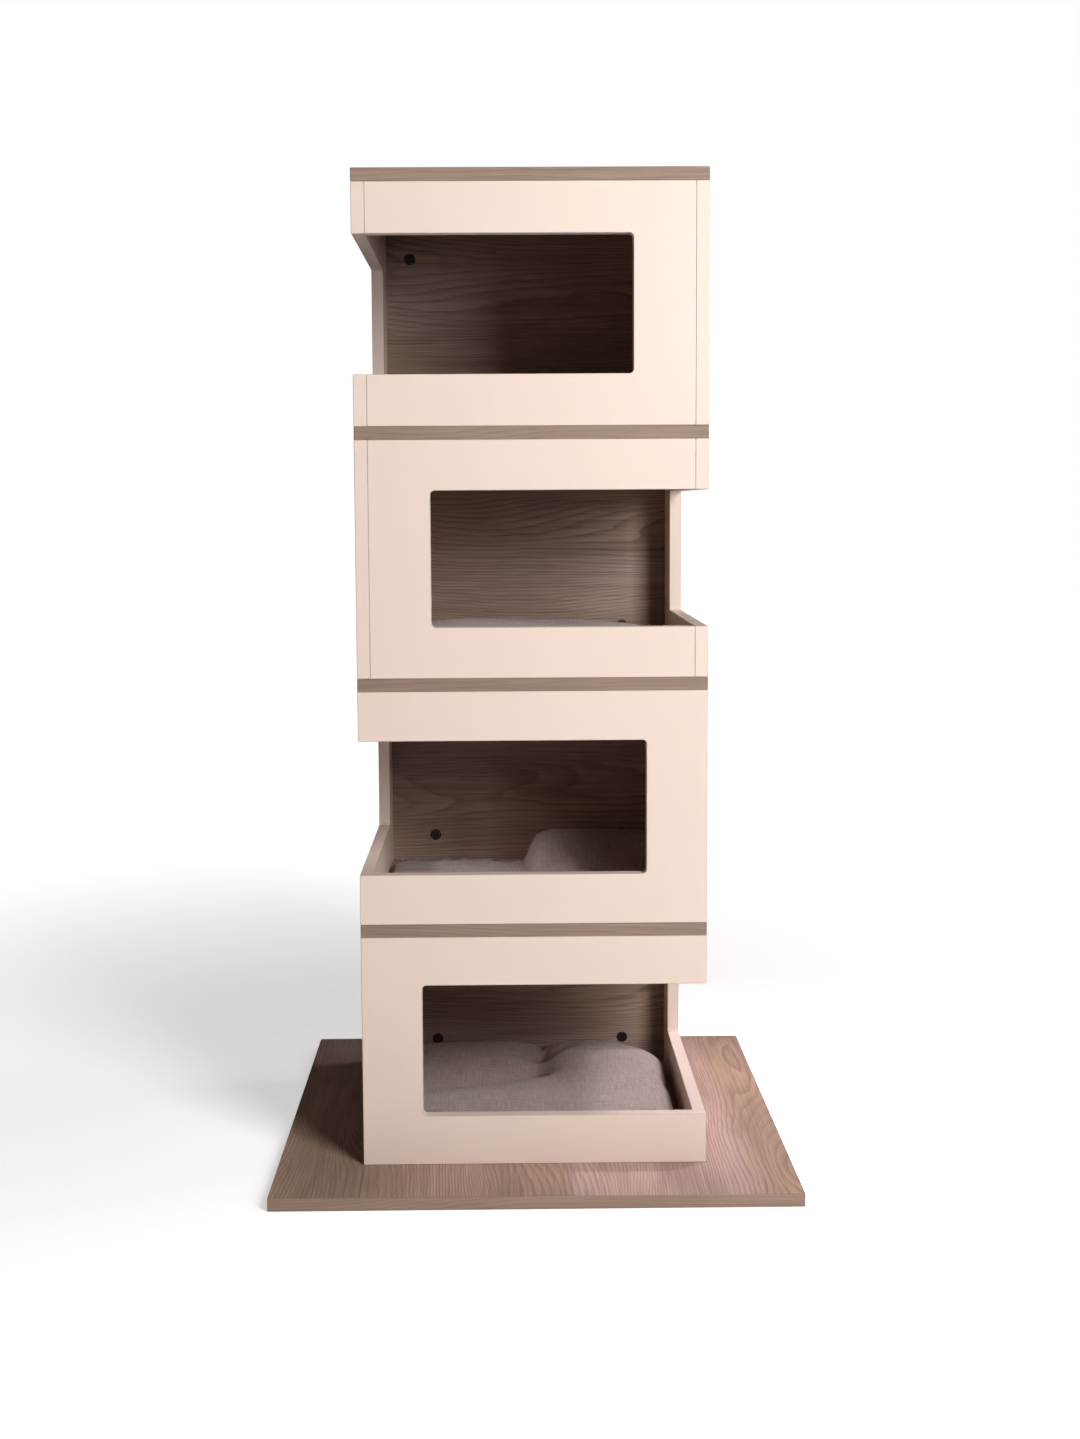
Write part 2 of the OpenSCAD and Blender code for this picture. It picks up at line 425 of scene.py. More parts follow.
@dataclass(frozen=True)
class SatinBoard:
    """Warm white melamine: a satin skin with a faint pebble, and a glue line along its eased edges."""

    name: str = "satin_white"
    colour: Colour = (0.86, 0.705, 0.618)
    shade: Colour = (0.81, 0.655, 0.565)
    edge: Colour = (0.38, 0.28, 0.22)
    pebble: float = 420.0

    def build(self) -> bpy.types.Material:
        """Makes the material."""
        material, graph = new_graph(self.name)
        spot = graph.place((1, 1, 1))
        cloud = graph.span(graph.noise(spot, 5.0, 3.0, 0.6), 0.3, 0.7)
        colour = graph.mix(graph.maths("MULTIPLY", cloud, 0.55), self.colour, self.shade)
        scuffs = graph.span(graph.noise(spot, 60.0, 4.0, 0.7), 0.35, 0.65)
        worn = graph.maths("MULTIPLY", graph.read("edge_wear"), graph.span(scuffs, 0, 1, 0.40, 0.75))
        colour = graph.mix(worn, colour, self.edge)
        pebble = graph.noise(spot, self.pebble, 2.0, 0.55)
        waves = graph.noise(spot, 26.0, 1.0)
        normal = graph.bump(waves, 0.2 * MM, 0.25)
        normal = graph.bump(pebble, 0.05 * MM, 0.5, normal)
        graph.surface({"Base Color": colour, "Roughness": graph.span(scuffs, 0, 1, 0.40, 0.50),
                       "Normal": normal, "Specular IOR Level": 0.42})
        return material


@dataclass(frozen=True)
class OakDecor:
    """Greyish brown oak decor: growth lines that bend into cathedrals, fibres, pores and soft bands.

    The lines are the contours of a long soft noise added to the distance across the grain.
    """

    name: str
    run: Run
    seed: float = 0.0
    light: Colour = (0.565, 0.390, 0.345)
    dark: Colour = (0.200, 0.122, 0.095)
    tan: Colour = (0.490, 0.335, 0.242)
    line_pitch: float = 5.2 * MM
    bend: float = 27.0
    figure: float = 0.50
    fibre: float = 0.42
    swell_stretch: Stretch = (1.7, 8.0, 8.0)
    shake_stretch: Stretch = (14.0, 60.0, 60.0)
    patch_stretch: Stretch = (2.6, 15.0, 15.0)
    fibre_stretch: Stretch = (6.0, 380.0, 380.0)
    pore_stretch: Stretch = (20.0, 1500.0, 1500.0)
    band_stretch: Stretch = (0.5, 10.0, 10.0)
    cloud_stretch: Stretch = (2.0, 9.0, 9.0)
    line_levels: tuple[tuple[float, float], ...] = (
        (0.0, 0.10), (0.14, 0.95), (0.58, 0.80), (0.88, 0.40), (1.0, 0.10))

    def build(self) -> bpy.types.Material:
        """Makes the material."""
        material, graph = new_graph(self.name)
        shift = (self.seed * 3.1, self.seed * 1.7, self.seed * 0.9)
        spot = graph.place((1, 1, 1), self.run.value, shift)
        parts = graph.add("ShaderNodeSeparateXYZ", {0: spot})
        across = graph.maths("ADD", parts.outputs[1], parts.outputs[2])
        swell = graph.noise(graph.stretch(spot, self.swell_stretch), 1.0, 1.0, 0.35, 0.15)
        shake = graph.noise(graph.stretch(spot, self.shake_stretch), 1.0, 2.0)
        bend = graph.maths("MULTIPLY", swell, self.bend)
        lines = graph.maths("MULTIPLY_ADD", across, 1 / self.line_pitch, bend)
        phase = graph.maths("FRACT", graph.maths("MULTIPLY_ADD", shake, 0.9, lines))
        growth = graph.ramp(phase, self.line_levels)
        patch = graph.span(graph.noise(graph.stretch(spot, self.patch_stretch), 1.3, 3.0), 0.38, 0.62)
        fibres = graph.noise(graph.stretch(spot, self.fibre_stretch), 1.0, 5.0, 0.72)
        fibres = graph.span(fibres, 0.33, 0.67)
        pores = graph.span(graph.noise(graph.stretch(spot, self.pore_stretch), 1.0, 2.0), 0.55, 0.68)
        bands = graph.span(graph.noise(graph.stretch(spot, self.band_stretch), 1.0, 1.0), 0.42, 0.58)
        cloud = graph.span(graph.noise(graph.stretch(spot, self.cloud_stretch), 1.0, 3.0), 0.3, 0.7)

        level = graph.maths("MULTIPLY", growth, graph.span(patch, 0, 1, 0.35 * self.figure, self.figure))
        level = graph.maths("MULTIPLY_ADD", fibres, self.fibre, level)
        level = graph.maths("MULTIPLY_ADD", cloud, 0.24, level)
        colour = graph.mix(graph.maths("MULTIPLY", bands, 0.9), self.light, self.tan)
        colour = graph.mix(graph.span(level, 0.05, 1.02, 0.95, 0.0), colour, self.dark)
        colour = graph.mix(graph.maths("MULTIPLY", pores, 0.5), colour, self.dark)
        colour = graph.mix(graph.maths("MULTIPLY", graph.read("edge_wear"), 0.45), colour, self.dark)
        relief = graph.maths("SUBTRACT", fibres, graph.maths("MULTIPLY", pores, 0.8))
        normal = graph.bump(relief, 0.12 * MM, 0.5)
        graph.surface({"Base Color": colour, "Roughness": graph.span(level, 0.1, 0.9, 0.62, 0.46),
                       "Normal": normal, "Specular IOR Level": 0.36})
        return material


@dataclass(frozen=True)
class Linen:
    """Plain linen: a fine over-and-under weave with thick and thin threads, and a soft fuzz."""

    name: str = "linen_weave"
    light: Colour = (0.56, 0.435, 0.395)
    dark: Colour = (0.22, 0.160, 0.140)
    thread: float = 1.2 * MM
    weave_share: float = 0.22
    slub_share: float = 0.66
    cloud_share: float = 0.16

    def build(self) -> bpy.types.Material:
        """Makes the material."""
        material, graph = new_graph(self.name)
        spot = graph.add("ShaderNodeUVMap", uv_map="cloth").outputs[0]
        wobble = graph.add("ShaderNodeTexNoise", {"Vector": spot, "Scale": 45.0, "Detail": 2.0})
        wobble = graph.add("ShaderNodeVectorMath", {0: wobble.outputs["Color"], 1: (0.0012,) * 3},
                           operation="MULTIPLY").outputs[0]
        spot = graph.add("ShaderNodeVectorMath", {0: spot, 1: wobble}, operation="ADD").outputs[0]
        parts = graph.add("ShaderNodeSeparateXYZ", {0: spot})
        rate = 2 * math.pi / self.thread
        weft = graph.maths("SINE", graph.maths("MULTIPLY", parts.outputs[0], rate))
        warp = graph.maths("SINE", graph.maths("MULTIPLY", parts.outputs[1], rate))
        weave = graph.span(graph.maths("MULTIPLY", weft, warp), -1, 1)
        slub_x = graph.noise(graph.stretch(spot, (30.0, 760.0, 1.0)), 1.0, 3.0, 0.7)
        slub_y = graph.noise(graph.stretch(spot, (760.0, 30.0, 1.0)), 1.0, 3.0, 0.7)
        slub = graph.span(graph.maths("ADD", slub_x, slub_y), 0.70, 1.30)
        cloud = graph.span(graph.noise(spot, 14.0, 3.0, 0.6), 0.3, 0.7)
        level = graph.maths("ADD", graph.maths("MULTIPLY", weave, self.weave_share),
                            graph.maths("MULTIPLY", slub, self.slub_share))
        level = graph.maths("ADD", level, graph.maths("MULTIPLY", cloud, self.cloud_share))
        colour = graph.mix(graph.span(level, 0.15, 1.0), self.dark, self.light)
        fuzz = graph.noise(spot, 2600.0, 2.0)
        height = graph.maths("ADD", weave, graph.maths("MULTIPLY", slub, 0.8))
        rumple = graph.noise(graph.stretch(spot, (30.0, 22.0, 1.0)), 1.0, 3.0, 0.55, 1.2)
        normal = graph.bump(rumple, 5 * MM, 0.55)
        normal = graph.bump(graph.maths("ADD", height, fuzz), 0.35 * MM, 0.7, normal)
        graph.surface({"Base Color": colour, "Roughness": graph.span(slub, 0, 1, 0.96, 0.84),
                       "Normal": normal, "Specular IOR Level": 0.2, "Sheen Weight": 0.25,
                       "Sheen Roughness": 0.5})
        return material


@dataclass(frozen=True)
class ZincSteel:
    """Zinc-plated die-cast metal with a satin, slightly blotchy skin."""

    name: str = "zinc_satin"
    bright: Colour = (0.62, 0.61, 0.58)
    dull: Colour = (0.36, 0.35, 0.33)

    def build(self) -> bpy.types.Material:
        """Makes the material."""
        material, graph = new_graph(self.name)
        spot = graph.place((1, 1, 1))
        blotch = graph.span(graph.noise(spot, 380.0, 4.0, 0.65), 0.35, 0.65)
        colour = graph.mix(blotch, self.dull, self.bright)
        normal = graph.bump(graph.noise(spot, 1500.0, 3.0), 0.05 * MM, 0.6)
        graph.surface({"Base Color": colour, "Metallic": 1.0,
                       "Roughness": graph.span(blotch, 0, 1, 0.48, 0.26), "Normal": normal})
        return material


@dataclass(frozen=True)
class RawBeech:
    """Raw beech dowels: pale wood with short dark flecks along the grain."""

    name: str = "raw_beech"
    light: Colour = (0.66, 0.47, 0.28)
    dark: Colour = (0.42, 0.26, 0.13)
    fleck_stretch: Stretch = (400.0, 400.0, 90.0)

    def build(self) -> bpy.types.Material:
        """Makes the material."""
        material, graph = new_graph(self.name)
        spot = graph.place((1, 1, 1))
        streaks = graph.noise(graph.stretch(spot, self.fleck_stretch), 1.0, 4.0, 0.7)
        flecks = graph.span(streaks, 0.35, 0.7)
        colour = graph.mix(flecks, self.light, self.dark)
        normal = graph.bump(flecks, 0.1 * MM, 0.6)
        graph.surface({"Base Color": colour, "Roughness": graph.span(flecks, 0, 1, 0.7, 0.85),
                       "Normal": normal})
        return material


@dataclass(frozen=True)
class PaleFloor:
    """The studio's floor: plain, pale and matt, brighter away from the tower like a lit sweep.

    The glow is only seen by the camera and lights nothing.
    """

    name: str = "pale_floor"
    colour: Colour = (0.93, 0.925, 0.92)
    glow_near: float = 0.55
    glow_far: float = 1.0
    sweep: tuple[float, float] = (0.5, 2.2)

    def build(self) -> bpy.types.Material:
        """Makes the material."""
        material, graph = new_graph(self.name)
        grain = graph.span(graph.noise(graph.place((1, 1, 1)), 90.0, 3.0), 0.3, 0.7)
        colour = graph.mix(graph.maths("MULTIPLY", grain, 0.2), self.colour, (0.90, 0.895, 0.89))
        flat = {0: graph.place((1, 1, 0))}
        distance = graph.add("ShaderNodeVectorMath", flat, operation="LENGTH").outputs["Value"]
        glow = graph.span(distance, *self.sweep, self.glow_near, self.glow_far, smooth=True)
        seen = graph.add("ShaderNodeLightPath").outputs["Is Camera Ray"]
        graph.surface({"Base Color": colour, "Roughness": 0.9, "Emission Color": (1, 1, 1, 1),
                       "Emission Strength": graph.maths("MULTIPLY", glow, seen)})
        return material


# ---------------------------------------------------------------- the tower


def give(piece: bpy.types.Object, body: str, slot: str, *nodes: str) -> bpy.types.Object:
    """Lets a piece ride on a body and hides the CAD nodes that it stands for.

    Args:
        piece: The finished piece.
        body: The body it rides on.
        slot: Not used.
        *nodes: The CAD nodes that it stands for.

    Returns:
        The same piece.
    """
    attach(piece, body)
    if nodes:
        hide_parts(*nodes)
    LOG.info("%s rides on %s", piece.name, body)
    return piece


@dataclass
class WhitePanels:
    """The white panels of one box: a front one, and the two at its sides."""

    level: int
    finish: bpy.types.Material
    sill: float = 58 * MM
    lintel: float = 57 * MM
    strip: float = 70 * MM
    inner_radius: float = 5 * MM
    outer_radius: float = 1.2 * MM
    ease: float = 0.8 * MM

    @property
    def open_side(self) -> Side:
        """Odd boxes open round their right corner and even ones round their left."""
        return Side.RIGHT if self.level % 2 else Side.LEFT

    def plain(self, length: float, height: float) -> Array:
        """A whole panel's outline, from its own lower left corner."""
        corners = np.array([[0, 0], [length, 0], [length, height], [0, height]], float)
        return square_corners(corners, np.full(4, self.outer_radius), 4)

    def cut(self, length: float, height: float, open_at_end: bool) -> Array:
        """A panel's outline with the opening cut in from one end.

        Args:
            length: The panel's length.
            height: The panel's height.
            open_at_end: True if the opening runs out at the far end, False at the near one.

        Returns:
            The outline from the panel's own lower left corner.
        """
        top = height - self.lintel
        corners = np.array([[0, 0], [length, 0], [length, self.sill], [self.strip, self.sill],
                            [self.strip, top], [length, top], [length, height], [0, height]], float)
        radii = np.full(8, self.outer_radius)
        radii[3:5] = self.inner_radius
        if not open_at_end:
            corners = (corners * (-1, 1) + (length, 0))[::-1]
            radii = radii[::-1]
        return square_corners(corners, radii, 9)

    def panel(self, node: str, facing: Facing, opened: bool, open_at_end: bool) -> bpy.types.Object:
        """Makes one panel in the space of its CAD node.

        Args:
            node: The CAD node's name.
            facing: How the panel stands.
            opened: True if the opening cuts into this panel.
            open_at_end: Where the opening runs out.

        Returns:
            The finished piece.
        """
        low, high = (np.array(corner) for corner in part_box(node))
        along, up, out = (np.array(axis, float) for axis in facing.value)
        size = high - low
        length, height, thickness = (abs(size @ axis) for axis in (along, up, out))
        start = np.where((along + up + out) < 0, high, low)
        outline = self.cut(length, height, open_at_end) if opened else self.plain(length, height)
        piece = Board(f"{node}_skin", outline, thickness, facing, tuple(start), self.ease).build()
        piece.data.materials.append(self.finish)
        return give(piece, TOWER_BODY, "white_board", node)

    def build(self) -> None:
        """Makes the three panels."""
        right = self.open_side is Side.RIGHT
        self.panel(f"front_panel_{self.level}", Facing.FRONT, True, right)
        self.panel(f"right_panel_{self.level}", Facing.RIGHT, right, False)
        self.panel(f"left_panel_{self.level}", Facing.LEFT, not right, True)


@dataclass
class DecorBoards:
    """The wood-decor boards: base plate, shelves and top, lying flat, and the standing back panels, whose
    decor is made darker as painted shade.
    """

    ease: float = 0.6 * MM
    corner_radius: float = 1.0 * MM
    face_bend: float = 38.0
    face_figure: float = 0.78
    edge_figure: float = 0.5
    edge_light: Colour = (0.405, 0.285, 0.222)
    edge_dark: Colour = (0.215, 0.140, 0.108)
    edge_tan: Colour = (0.39, 0.275, 0.20)
    # The back panels take the same oak decor made darker: painted shade for the dim insides of the boxes.
    back_painted_shade_light: Colour = (0.50, 0.345, 0.300)
    back_painted_shade_dark: Colour = (0.125, 0.078, 0.062)
    back_bend: float = 34.0
    back_figure: float = 0.62
    faces_front: float = 0.7
    band_cut: float = 5.0
    first_cut: float = 1.0
    cut_step: float = 1.37
    back_cut: float = 11.0
    back_step: float = 2.3

    def flat(self, node: str, seed: float) -> bpy.types.Object:
        """Makes a flat board whose face grain runs front to back and whose front and back edges take the
        edge band decor.

        Args:
            node: The CAD node's name.
            seed: Where in the decor the board is cut from.

        Returns:
            The finished piece.
        """
        low, high = (np.array(corner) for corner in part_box(node))
        size = high - low
        corners = np.array([[0, 0], [size[0], 0], [size[0], size[1]], [0, size[1]]])
        outline = square_corners(corners, np.full(4, self.corner_radius), 4)
        piece = Board(f"{node}_decor", outline, size[2], Facing.UP, tuple(low), self.ease).build()
        face = OakDecor(f"oak_face_{node}", Run.ALONG_Y, seed, bend=self.face_bend,
                        figure=self.face_figure)
        piece.data.materials.append(face.build())
        band = OakDecor(f"oak_band_{node}", Run.ALONG_X, seed + self.band_cut, figure=self.edge_figure,
                        light=self.edge_light, dark=self.edge_dark, tan=self.edge_tan)
        piece.data.materials.append(band.build())
        normals = np.empty(len(piece.data.polygons) * 3, np.float32)
        piece.data.polygons.foreach_get("normal", normals)
        on_front = np.abs(normals.reshape(-1, 3)[:, 1]) > self.faces_front
        piece.data.polygons.foreach_set("material_index", on_front.astype(np.int32))
        return give(piece, TOWER_BODY, "decor_board", node)

    def back(self, level: int) -> None:
        """Dresses a back panel's CAD node, which has the cam locks' real holes, in level grain, darker
        than the other boards' decor as painted shade.
        """
        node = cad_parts[f"back_panel_{level}"]
        node.data.materials.clear()
        finish = OakDecor(f"oak_back_painted_shade_{level}", Run.ALONG_X, self.back_cut + self.back_step * level,
                          light=self.back_painted_shade_light, dark=self.back_painted_shade_dark, bend=self.back_bend,
                          figure=self.back_figure)
        node.data.materials.append(finish.build())

    def build(self) -> None:
        """Makes every wood-decor board."""
        flat_nodes = ["base_plate", *(f"shelf_{level}" for level in range(1, LEVELS)), "top_board"]
        for place, node in enumerate(flat_nodes):
            self.flat(node, self.first_cut + self.cut_step * place)
        for level in range(1, LEVELS + 1):
            self.back(level)


@dataclass(frozen=True)
class Mound:
    """A soft swelling of a cushion's top.

    It rises by height * exp(-(x / reach_x)^2 - (y / reach_y)^2), measured from its middle.
    """

    x: float
    y: float
    reach_x: float
    reach_y: float
    height: float

    def rise(self, x: Array, y: Array) -> Array:
        """How far the mound lifts each point."""
        across, along = (x - self.x) / self.reach_x, (y - self.y) / self.reach_y
        return self.height * np.exp(-across ** 2 - along ** 2)


@dataclass(frozen=True)
class Crease:
    """A furrow between two places: -depth * exp(-(distance to the line between them / width)^2)."""

    start: tuple[float, float]
    end: tuple[float, float]
    width: float
    depth: float

    def rise(self, x: Array, y: Array) -> Array:
        """How far the crease lowers each point, as a negative rise."""
        start, way = np.array(self.start), np.subtract(self.end, self.start)
        along = np.clip(((x - start[0]) * way[0] + (y - start[1]) * way[1]) / (way @ way), 0, 1)
        distance = np.hypot(x - start[0] - along * way[0], y - start[1] - along * way[1])
        return -self.depth * (1 - 0.6 * along) * np.exp(-((distance / self.width) ** 2))


@dataclass(frozen=True)
class Fold:
    """A thick part heaped on one side of a line across the cushion, with a steep rounded flank.

    It rises by height * smooth step of x across the flank * smooth step of y across the slope.
    """

    flank: tuple[float, float]
    slope: tuple[float, float]
    height: float

    def rise(self, x: Array, y: Array) -> Array:
        """How far the fold lifts each point."""
        return self.height * smooth_step(x, *self.flank) ** 0.6 * smooth_step(y, *self.slope)


@dataclass(frozen=True)
class Ruffle:
    """A puckered edge: height * sin(2 pi * place along the edge / pitch) that dies away inwards."""

    pitch: float
    height: float
    reach: float
    until: float

    def rise(self, x: Array, y: Array) -> Array:
        """How far the ruffle lifts each point, along the back edge left of a limit and the left edge."""
        phase = 2 * math.pi / self.pitch
        wave_x = np.sin(phase * x + 1.4 * np.sin(phase * x / 3.1))
        wave_y = np.sin(phase * y + 1.1 * np.sin(phase * y / 2.7))
        back = (1 - smooth_step(x, self.until - 0.04, self.until)) * np.exp((y - y.max()) / self.reach)
        left = np.exp((x.min() - x) / self.reach)
        return self.height * ((1 + wave_x) * back + (1 + wave_y) * left)


Form = Mound | Crease | Fold | Ruffle


@dataclass(frozen=True)
class Filling:
    """How a cushion is blown up: the pressure inside it, the spare cloth, and how far a point may go."""

    pressure: float = 4.0
    spare_cloth: float = 0.05
    most: float = 12 * MM
    frames: int = 20
    voxel: float = 5 * MM
    quality: int = 5
    cloth_mass: float = 0.25
    stretch_stiffness: float = 12.0
    shear_stiffness: float = 4.0
    bending_stiffness: float = 0.35
    held_height: float = 3 * MM
    tuft_radius: float = 7 * MM

    def set_cloth(self, cloth: bpy.types.Modifier, held: str) -> None:
        """Sets a cloth modifier up.

        Args:
            cloth: The modifier.
            held: The name of the vertex group that stays in place.
        """
        settings = cloth.settings
        settings.quality = self.quality
        settings.mass = self.cloth_mass
        settings.tension_stiffness = settings.compression_stiffness = self.stretch_stiffness
        settings.shear_stiffness = self.shear_stiffness
        settings.bending_stiffness = self.bending_stiffness
        settings.use_pressure = True
        settings.uniform_pressure_force = self.pressure
        settings.shrink_min = settings.shrink_max = -self.spare_cloth
        settings.effector_weights.gravity = 0.0
        settings.vertex_group_mass = held
        cloth.collision_settings.use_collision = False


@dataclass
class Cushion:
    """A loose filled linen cushion with a seam round its edge.

    Its top is seam + (crown - seam) * sqrt((1 - |s|^f) (1 - |t|^f)) plus its own mounds, creases, folds
    and ruffles, over a square whose sides pull in between its corners. Cloth simulation then fills it.
    """

    level: int
    finish: bpy.types.Material
    crown: float = 46 * MM
    seam: float = 13 * MM
    pull_in: float = 5 * MM
    margin: float = 4 * MM
    fullness: float = 4.0
    corner_pull: float = 4 * MM
    thinnest: float = 3 * MM
    welt_height: float = 1.4 * MM
    welt_width: float = 2.2 * MM
    forms: tuple[Form, ...] = ()
    tuft: tuple[float, float] | None = None
    filling: Filling = Filling()
    points_across: int = 121
    room: float = 1.2 * MM
    fill: float = 0.5

    def start_shape(self, low: Array, high: Array) -> bpy.types.Object:
        """Makes the closed cushion as it is before it is filled.

        Args:
            low: The lowest corner of the space it may take.
            high: The highest corner of that space.

        Returns:
            The cushion's object.
        """
        middle = (low + high) / 2
        half = (high - low)[:2] / 2 - self.margin
        line = np.sin(np.linspace(-math.pi / 2, math.pi / 2, self.points_across))
        s, t = np.meshgrid(line, line, indexing="ij")
        across = 1 - np.abs(s) ** self.fullness
        bulge = np.sqrt(np.clip(across * (1 - np.abs(t) ** self.fullness), 0, 1))
        x = s * (half[0] - self.pull_in * (1 - t**2) - self.corner_pull * t**8)
        y = t * (half[1] - self.pull_in * (1 - s**2) - self.corner_pull * s**8)
        rise = sum((form.rise(x, y) for form in self.forms), np.zeros_like(x))
        top = self.seam + (self.crown - self.seam) * bulge + rise * np.minimum(1, 3 * bulge + 0.25)
        under = np.minimum(self.seam * (1 - bulge**0.6), top - self.thinnest)
        top = np.maximum(top, under + self.thinnest)
        n = self.points_across
        rim = np.maximum(np.abs(s), np.abs(t)) > 1 - 1e-6
        top, under = np.where(rim, self.seam, top), np.where(rim, self.seam, under)
        upper = np.stack([x + middle[0], y + middle[1], top + low[2]], -1).reshape(-1, 3)
        lower = np.stack([x + middle[0], y + middle[1], under + low[2]], -1).reshape(-1, 3)
        quads = grid_quads(n, n)
        lower_number = np.where(rim.ravel(), np.arange(n * n), n * n + np.arange(n * n))
        faces = np.concatenate([quads, lower_number[quads[:, ::-1]]])
        used, faces = np.unique(faces, return_inverse=True)
        points = np.concatenate([upper, lower])[used]
        return new_piece(f"cushion_{self.level}_linen", points, faces.reshape(-1, 4).tolist())

    def inflate(self, piece: bpy.types.Object, low: Array, high: Array) -> None:
        """Fills the cushion by cloth simulation and keeps the result.

        The mesh is made even, blown up for some frames, and each point is then held within the
        furthest it may go and within the cushion's space.

        Args:
            piece: The cushion.
            low: The lowest corner of its space.
            high: The highest corner of its space.
        """
        remesh = piece.modifiers.new("even", "REMESH")
        remesh.mode, remesh.voxel_size = "VOXEL", self.filling.voxel
        apply_modifiers(piece)
        before = read_points(piece)
        held = before[:, 2] < low[2] + self.filling.held_height
        if self.tuft is not None:
            from_tuft = np.hypot(before[:, 0] - self.tuft[0], before[:, 1] - self.tuft[1])
            held |= from_tuft < self.filling.tuft_radius
        group = piece.vertex_groups.new(name="held")
        group.add(np.flatnonzero(held).tolist(), 1.0, "REPLACE")
        cloth = piece.modifiers.new("filling", "CLOTH")
        self.filling.set_cloth(cloth, group.name)
        for frame_number in range(1, self.filling.frames + 1):
            bpy.context.scene.frame_set(frame_number)
        after = read_points(piece, evaluated=True)
        piece.modifiers.clear()
        bpy.context.scene.frame_set(1)
        step = after - before
        length = np.linalg.norm(step, axis=1, keepdims=True)
        step *= np.minimum(1, self.filling.most / np.maximum(length, 1e-9))
        write_points(piece, np.clip(before + step, low, high))
        piece.data.update()

    def finish_cloth(self, piece: bpy.types.Object, low: Array, high: Array) -> None:
        """Subdivides the cushion once, raises its seam and lays the weave's coordinates on it.

        The seam stands out by welt_height * exp(-(height over the seam / welt_width)^2) where the
        cloth is upright. The weave runs by x and y on top, and slides outwards down the sides.

        Args:
            piece: The cushion.
            low: The lowest corner of its space.
            high: The highest corner of its space.
        """
        smooth = piece.modifiers.new("smooth", "SUBSURF")
        smooth.levels = smooth.render_levels = 1
        apply_modifiers(piece)
        points, normals = read_points(piece), read_normals(piece)
        upright = np.clip(1.2 - 1.6 * np.abs(normals[:, 2]), 0, 1)
        over_seam = points[:, 2] - low[2] - self.seam
        ridge = self.welt_height * np.exp(-((over_seam / self.welt_width) ** 2)) * upright
        points = np.clip(points + normals * ridge[:, None], low, high)
        write_points(piece, points)
        set_attribute(piece, "seam", np.clip(ridge / self.welt_height, 0, 1))
        loops = np.empty(len(piece.data.loops), np.int32)
        piece.data.loops.foreach_get("vertex_index", loops)
        sides = np.sign(points[:, :2]) * (self.seam - (points[:, 2:] - low[2]))
        weave = points[:, :2] + 0.7 * sides * np.clip(1 - np.abs(normals[:, 2:]), 0, 1)
        cloth = piece.data.uv_layers.new(name="cloth")
        cloth.data.foreach_set("uv", np.ascontiguousarray(weave[loops], np.float32).ravel())
        piece.data.shade_smooth()

    def build(self) -> bpy.types.Object:
        """Makes the cushion in the space of its CAD node."""
        node = f"cushion_{self.level}"
        low, high = (np.array(corner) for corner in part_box(node))
        low[:2] += self.room
        high[:2] -= self.room
        piece = self.start_shape(low, high)
        self.inflate(piece, low, high)
        self.finish_cloth(piece, low, high)
        piece.data.materials.append(self.finish)
        return give(piece, node, "linen", node)


@dataclass
class Fittings:
    """The hardware inside the boards: its CAD nodes, dressed."""

    def dress(self, node: str, finish: bpy.types.Material) -> None:
        """Puts a finish on a CAD node."""
        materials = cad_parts[node].data.materials
        materials.clear()
        materials.append(finish)

    def build(self) -> None:
        """Dresses the metal fittings and the dowels; the cam locks get near-black zinc as painted shade.
        """
        steel = ZincSteel().build()
        for node in ("cam_bolts", "base_screws"):
            self.dress(node, steel)
        # The cam locks' zinc is near-black: painted shade for the dark holes they sit in, not the metal's
        # own colour.
        shade_darkened = ZincSteel("painted_shade_zinc", (0.16, 0.13, 0.115), (0.030, 0.025, 0.023))
        self.dress("cam_locks", shade_darkened.build())
        beech = RawBeech().build()
        for node in ("corner_dowels", "board_dowels"):
            self.dress(node, beech)


# ---------------------------------------------------------------- studio


@dataclass(frozen=True)
class Lamp:
    """A soft square lamp, which may light only a narrow cone, given in degrees."""

    name: str
    place: tuple[float, float, float]
    target: tuple[float, float, float]
    size: tuple[float, float]
    power: float
    colour: Colour = (1.0, 1.0, 1.0)
    cone: float = 180.0

    def build(self) -> None:
        """Hangs the lamp and turns it towards its target."""
        light = bpy.data.lights.new(self.name, "AREA")
        light.shape = "RECTANGLE"
        light.size, light.size_y = self.size
        light.energy = self.power
        light.color = self.colour
        light.spread = math.radians(self.cone)
        lamp = bpy.data.objects.new(self.name, light)
        lamp.location = self.place
        way = Vector(self.target) - Vector(self.place)
        lamp.rotation_euler = way.to_track_quat("-Z", "Y").to_euler()
        bpy.context.scene.collection.objects.link(lamp)


LAMPS = (
    Lamp("key", (1.10, -1.90, 1.56), (0.0, -0.1, 0.62), (0.7, 1.5), 53.0),
    Lamp("right_wall", (2.20, 0.30, 1.55), (0.1, 0.0, 0.4), (0.9, 0.9), 12.0, (1.0, 0.92, 0.95)),
    Lamp("left_glow", (-1.15, -0.40, 1.10), (-0.08, 0.02, 0.31), (0.2, 0.2), 0.09,
         (1.0, 0.93, 0.92), 16.0),
    Lamp("base_glow", (1.20, 0.55, 1.50), (0.30, 0.05, 0.0), (0.3, 0.3), 1.0, (1.0, 0.92, 0.97), 34.0),
    Lamp("left_wall", (-2.2, -1.25, 0.55), (0.0, 0.0, 0.5), (0.9, 0.9), 2.5, (1.0, 0.66, 0.56)),
)


